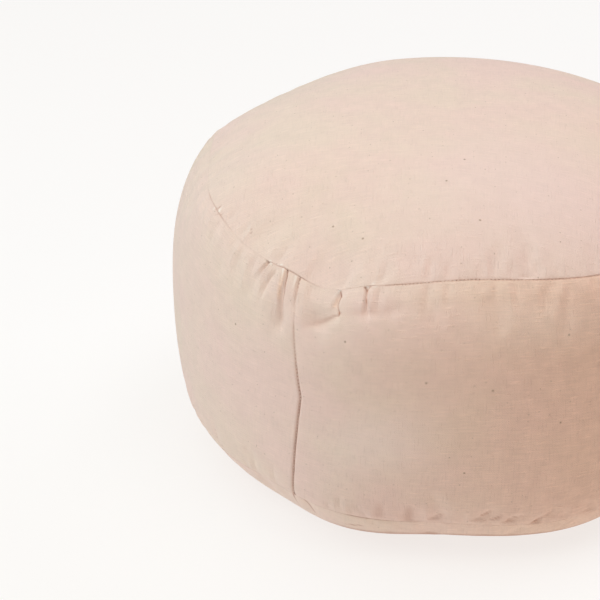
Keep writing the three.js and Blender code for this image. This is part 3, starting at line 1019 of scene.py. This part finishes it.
def build_stitches():
    """The stitches of the top seam, the bottom seam and the join, as one mesh."""
    middle = np.array([BOX_MIDDLE[0], BOX_MIDDLE[1], 0])
    rows = [(*seam_line(stretch), True) for stretch in (0, 2)]
    join = band_patch(np.linspace(*JOIN_SEWN), np.array([JOIN_TOP]))
    bare = join.placed()[:, 0] / MM + middle
    join.relief += 1
    rows.append((bare, join.placed()[:, 0] / MM + middle - bare, False))
    points = []
    faces = []
    for row in rows:
        more, more_faces = stitch_row(*row)
        first = sum(len(some) for some in points)
        faces.extend(tuple(first + i for i in face) for face in more_faces)
        points.append(more)
    mesh = plain_mesh("stitches", (np.concatenate(points) - middle) * MM, faces)
    mesh.polygons.foreach_set("use_smooth", [True] * len(faces))
    mesh.update()
    return linked("stitches", mesh)


stitches = build_stitches()
top = build_top(CLOTH_GAP / 2)
side = build_side(CLOTH_GAP / 2)
bottom = build_bottom(CLOTH_GAP / 2)

# ---- Cloth ----

BLUSH = (0.825, 0.615, 0.525)
BEIGE = (0.805, 0.635, 0.515)
# The tan of the warm painted shade on the shaded side and the tucks' flanks.
WARM_SHADE = (0.822, 0.575, 0.435)
ROSE = (0.83, 0.645, 0.57)
FLECK = (0.42, 0.29, 0.20)
# Colours of the painted shade and of the painted highlights.
PAINTED_SHADE = (0.37, 0.13, 0.06)
GLINT = (0.96, 0.88, 0.79)
THREAD_PITCH = 0.72  # millimetres between threads
# Noise, in lumps a millimetre across the cloth and down it.
WANDER = (0.09, 0.09)
PATCHES = (0.014, 0.017)
UPRIGHT_THREADS, LEVEL_THREADS = (1.25, 0.07), (0.07, 1.25)
UPRIGHT_SLUBS, LEVEL_SLUBS = (0.9, 0.13), (0.11, 0.9)
SLUB_EDGE = (0.60, 0.74)  # of the noise: where a slub starts, and where it is full
WOBBLE = (0.31, 1.1)  # lumps a millimetre, and how far threads stray
UPRIGHT_SHARE, LEVEL_SHARE = 0.7, 1.1  # of the grain
# How dark and how pale each layer of the cloth makes it.
GRAIN_SHADE = (0.965, 1.035)
WEAVE_SHADE = (0.97, 1.03)
UPRIGHT_SLUB_SHADE, LEVEL_SLUB_SHADE = 0.972, 1.05
WANDER_SHADE = (0.985, 1.015)
ROSY_SHARE = 0.8
# The threads' light and dark are painted strongest on the tan shaded side, as grazing light would show
# them, and weakest on the rosy crown: tints, and contrast at each.
CONTRAST_TINTS, CONTRAST = (-0.2, 0.75), (0.7, 1.85)
FLECK_CELLS = 0.16  # a millimetre; each cell may hold one fleck
FLECK_PICK = 0.62  # of the cells: those above it hold one
FLECK_SIZE, FLECK_EDGE, FLECK_DARKNESS = 0.085, 0.05, 0.75
SEED_DARKNESS = 0.9
# How strong the painted shade and the painted highlights are at their fullest.
PAINTED_SHADE_STRENGTH, GLINT_PALENESS = 0.85, 0.9
# Shares of the cloth's height, and what its whole is, in metres.
WEAVE_HEIGHT, GRAIN_HEIGHT, SLUB_HEIGHT, CLOTH_RELIEF = 0.30, 0.9, 0.8, 0.00012
CLOTH_SURFACE = {
    "Roughness": 0.92,
    "Specular IOR Level": 0.25,
    "Sheen Weight": 0.12,
    "Sheen Roughness": 0.45,
}
THREAD_SHADES = (0.72, 0.56, 0.46), (0.86, 0.71, 0.61)
TWIST_SCALE, TWIST_RELIEF = 2600.0, 0.00004  # turns a metre, metres
THREAD_SURFACE = {"Roughness": 0.8, "Specular IOR Level": 0.25}


def seed_places():
    """Where the seeds lie on the panels' meshes, in metres."""
    spots = []
    for azimuth, down in BAND_SEEDS:
        lean = leaning(np.array(azimuth), down) - azimuth
        spots.append((side, band_patch(np.array([down / BAND_LENGTH]), np.array([azimuth - lean]))))
    for azimuth, inward in CROWN_SEEDS:
        spots.append((top, crown_patch(np.array([float(inward)]), np.array([float(azimuth)]))))
    return [obj.closest_point_on_mesh(Vector(patch.placed()[0, 0]))[1] for obj, patch in spots]


class Tree:
    """A material's nodes, added one after another and joined as they are added."""

    def __init__(self, name):
        self.material = bpy.data.materials.new(name)
        self.material.use_nodes = True
        self.nodes = self.material.node_tree.nodes
        self.links = self.material.node_tree.links
        self.shader = self.nodes["Principled BSDF"]

    def put(self, socket, value):
        if isinstance(value, bpy.types.NodeSocket):
            self.links.new(value, socket)
        else:
            socket.default_value = value

    def add(self, kind, inputs, output=0, **settings):
        node = self.nodes.new("ShaderNode" + kind)
        for key, value in settings.items():
            setattr(node, key, value)
        for key, value in inputs.items():
            self.put(node.inputs[key], value)
        return node.outputs[output]

    def math(self, operation, a, b=0.0):
        return self.add("Math", {0: a, 1: b}, operation=operation)

    def vector(self, operation, a, b):
        return self.add("VectorMath", {0: a, 1: b}, operation=operation)

    def attribute(self, name):
        return self.add("Attribute", {}, 2, attribute_name=name, attribute_type="GEOMETRY")

    def span(self, value, low, high, to_low=0.0, to_high=1.0):
        """Maps low..high onto to_low..to_high, and holds at the ends."""
        rows = {"Value": value, "From Min": low, "From Max": high, "To Min": to_low, "To Max": to_high}
        return self.add("MapRange", rows, clamp=True)

    def blend(self, share, a, b):
        node = self.nodes.new("ShaderNodeMix")
        node.data_type = "RGBA"
        self.put(node.inputs[0], share)
        self.put(node.inputs[6], a)
        self.put(node.inputs[7], b)
        return node.outputs[2]

    def noise(self, place, scale, detail=2.0, roughness=0.5):
        """Noise in a plane, with its own scale along each of the two threads."""
        stretched = self.vector("MULTIPLY", place, (*scale, 1.0))
        rows = {"Vector": stretched, "Scale": 1.0, "Detail": detail, "Roughness": roughness}
        return self.add("TexNoise", rows, noise_dimensions="2D")

    def finished(self, inputs):
        """The material, once its surface's inputs are set or joined."""
        for key, value in inputs.items():
            self.put(self.shader.inputs[key], value)
        return self.material


def cloth_material():
    """Linen whose weave follows the "cloth" coordinates, in millimetres."""
    tree = Tree("linen_cloth")
    place = tree.add("UVMap", {}, uv_map="cloth")
    wander = tree.noise(place, WANDER)
    wobble = tree.vector("MULTIPLY", place, (WOBBLE[0], WOBBLE[0], 0.0))
    rows = {"Vector": wobble, "Scale": 1.0, "Detail": 1.0}
    wobble = tree.add("TexNoise", rows, 1, noise_dimensions="2D")
    wobble = tree.vector("SUBTRACT", wobble, (0.5, 0.5, 0.5))
    wobble = tree.vector("MULTIPLY", wobble, (WOBBLE[1], WOBBLE[1], 0.0))
    threads = tree.vector("ADD", place, wobble)
    turns = math.pi / THREAD_PITCH
    phase = tree.vector("MULTIPLY", threads, (turns, turns, 0.0))
    split = tree.nodes.new("ShaderNodeSeparateXYZ")
    tree.put(split.inputs[0], phase)
    sine_u, sine_v = [tree.math("SINE", split.outputs[axis]) for axis in (0, 1)]
    weave = tree.math("MULTIPLY", sine_u, sine_v)
    # Threads are uneven along their length, and slubs are their thick stretches.
    upright = tree.noise(threads, UPRIGHT_THREADS, 1.0)
    level = tree.noise(threads, LEVEL_THREADS, 1.0)
    slub_up = tree.span(tree.noise(place, UPRIGHT_SLUBS, 1.5), *SLUB_EDGE)
    slub_level = tree.span(tree.noise(place, LEVEL_SLUBS, 1.5), *SLUB_EDGE)
    upright = tree.math("MULTIPLY", upright, UPRIGHT_SHARE)
    level = tree.math("MULTIPLY", level, LEVEL_SHARE)
    grain = tree.math("ADD", upright, level)
    slubs = tree.math("MAXIMUM", slub_up, slub_level)
    # Uneven dye, as blush and beige patches and the rosy crown, and the tan painted shade of the shaded
    # side and the tucks' flanks.
    patches = tree.span(tree.noise(place, PATCHES, 4.0, 0.55), 0.34, 0.66)
    color = tree.blend(patches, (*BLUSH, 1), (*BEIGE, 1))
    tint = tree.attribute("tint")
    color = tree.blend(tree.span(tint, 0.0, 1.0), color, (*WARM_SHADE, 1))
    color = tree.blend(tree.span(tint, -1.0, 0.0, ROSY_SHARE, 0.0), color, (*ROSE, 1))
    # Lighter and darker threads.
    shade = tree.span(grain, 0.6, 1.4, *GRAIN_SHADE)
    layers = [
        tree.span(weave, -1.0, 1.0, *WEAVE_SHADE),
        tree.span(slub_up, 0.0, 1.0, 1.0, UPRIGHT_SLUB_SHADE),
        tree.span(slub_level, 0.0, 1.0, 1.0, LEVEL_SLUB_SHADE),
        tree.span(wander, 0.35, 0.65, *WANDER_SHADE),
    ]
    for layer in layers:
        shade = tree.math("MULTIPLY", shade, layer)
    # Weave contrast painted stronger on the shaded side, as grazing light would show it.
    contrast = tree.span(tint, *CONTRAST_TINTS, *CONTRAST)
    contrast = tree.math("MULTIPLY", tree.math("SUBTRACT", shade, 1.0), contrast)
    shade = tree.math("ADD", contrast, 1.0)
    color = tree.add("VectorMath", {0: color, "Scale": shade}, operation="SCALE")
    # Small flecks anywhere, and the larger seeds where they lie.
    cells = tree.nodes.new("ShaderNodeTexVoronoi")
    cells.voronoi_dimensions = "2D"
    tree.put(cells.inputs["Vector"], place)
    tree.put(cells.inputs["Scale"], FLECK_CELLS)
    pick = tree.add("SeparateXYZ", {0: cells.outputs["Color"]})
    size = tree.span(pick, FLECK_PICK, 1.0, 0.0, FLECK_SIZE)
    fleck = tree.math("SUBTRACT", size, cells.outputs["Distance"])
    fleck = tree.span(fleck, 0.0, FLECK_EDGE, 0.0, FLECK_DARKNESS)
    color = tree.blend(fleck, color, (*FLECK, 1))
    row_place = tree.add("TexCoord", {}, 3)
    for spot in seed_places():
        away = tree.add("VectorMath", {0: row_place, 1: spot}, 1, operation="DISTANCE")
        seed = tree.span(away, SEED_SIZE[0] * MM, SEED_SIZE[1] * MM, SEED_DARKNESS, 0.0)
        color = tree.blend(seed, color, (*FLECK, 1))
    # Painted shade in the seams, creases and hollows and along the foot, and painted highlights where
    # it is negative.
    painted_shade_and_light = tree.attribute("painted_shade_and_light")
    color = tree.blend(tree.span(painted_shade_and_light, 0.0, 1.0, 0.0, PAINTED_SHADE_STRENGTH), color, (*PAINTED_SHADE, 1))
    color = tree.blend(tree.span(painted_shade_and_light, -1.0, 0.0, GLINT_PALENESS, 0.0), color, (*GLINT, 1))
    height = tree.math("MULTIPLY", weave, WEAVE_HEIGHT)
    height = tree.math("ADD", height, tree.math("MULTIPLY", grain, GRAIN_HEIGHT))
    height = tree.math("ADD", height, tree.math("MULTIPLY", slubs, SLUB_HEIGHT))
    bump = tree.add("Bump", {"Strength": 1.0, "Distance": CLOTH_RELIEF, "Height": height})
    return tree.finished({"Base Color": color, "Normal": bump, **CLOTH_SURFACE})


def thread_material():
    """Sewing thread, with the darker turns of its twist."""
    tree = Tree("sewing_thread")
    place = tree.add("TexCoord", {}, 3)
    twist = tree.add("TexNoise", {"Vector": place, "Scale": TWIST_SCALE, "Detail": 1.0})
    dark, pale = THREAD_SHADES
    color = tree.blend(tree.span(twist, 0.35, 0.65), (*dark, 1), (*pale, 1))
    bump = tree.add("Bump", {"Distance": TWIST_RELIEF, "Height": twist})
    return tree.finished({"Base Color": color, "Normal": bump, **THREAD_SURFACE})


cloth = cloth_material()
stitches.data.materials.append(thread_material())
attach(stitches, "root")
for obj, node in ((top, "top_panel"), (side, "side_band"), (bottom, "bottom_panel")):
    obj.data.materials.append(cloth)
    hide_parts(node)
    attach(obj, "root")

# ---- Floor, light and camera ----

FLOOR_SIZE = 30  # metres
FLOOR_SURFACE = {
    "Base Color": (0.2, 0.199, 0.197, 1),
    "Roughness": 0.9,
    "Specular IOR Level": 0.2,
    "Emission Color": (0.775, 0.755, 0.735, 1),
    "Emission Strength": 1.0,
}
WORLD_LIGHT = (0.0, 0.0, 0.0, 1)
# Soft boxes that face the cushion: name, place and size in metres, power of each colour in watts.
SOFT_BOXES = [
    ("overhead", (0.0, 0.0, 2.6), 2.4, (43.3, 46.5, 45.7)),
    ("key", (-1.5, -1.0, 1.7), 1.6, (24.6, 23.2, 22.9)),
    ("left", (-2.0, -0.2, 0.7), 1.6, (5.3, 8.9, 10.8)),
    ("right", (2.0, -0.9, 0.7), 1.6, (9.5, 4.5, 2.7)),
    ("back_right", (1.5, 1.4, 1.6), 1.6, (18.7, 18.7, 22.5)),
]

bpy.ops.mesh.primitive_plane_add(size=FLOOR_SIZE, location=(0, 0, 0))
floor = bpy.context.object
floor.name = "floor"
floor.data.materials.append(Tree("floor").finished(FLOOR_SURFACE))

world = bpy.data.worlds.new("studio")
world.use_nodes = True
background = world.node_tree.nodes["Background"]
background.inputs["Color"].default_value = WORLD_LIGHT
background.inputs["Strength"].default_value = 1.0
bpy.context.scene.world = world

for name, place, size, power in SOFT_BOXES:
    light = bpy.data.lights.new(name, "AREA")
    light.energy = max(power)
    light.color = [channel / max(power) for channel in power]
    light.size = size
    box = linked(name, light)
    box.location = place
    toward = Vector((0, 0, HEIGHT / 2 * MM)) - Vector(place)
    box.rotation_euler = toward.to_track_quat("-Z", "Y").to_euler()

CAMERA_PLACE = (-0.0006, -1.23202, 0.751945)
SENSOR_WIDTH = 36  # millimetres
LENS = 129.345
CAMERA_FORWARD = Vector((-0.06846, 0.87796, -0.47381))
CAMERA_RIGHT = Vector((0.99712, 0.07573, -0.00375))
camera = linked("camera", bpy.data.cameras.new("camera"))
camera.data.sensor_width = SENSOR_WIDTH
camera.data.lens = LENS
right = (CAMERA_RIGHT - CAMERA_FORWARD * CAMERA_RIGHT.dot(CAMERA_FORWARD)).normalized()
up = right.cross(CAMERA_FORWARD.normalized())
turned = Matrix((right, up, -CAMERA_FORWARD.normalized())).transposed()
camera.matrix_world = Matrix.Translation(CAMERA_PLACE) @ turned.to_4x4()
bpy.context.scene.camera = camera

bpy.context.scene.view_settings.view_transform = "Standard"
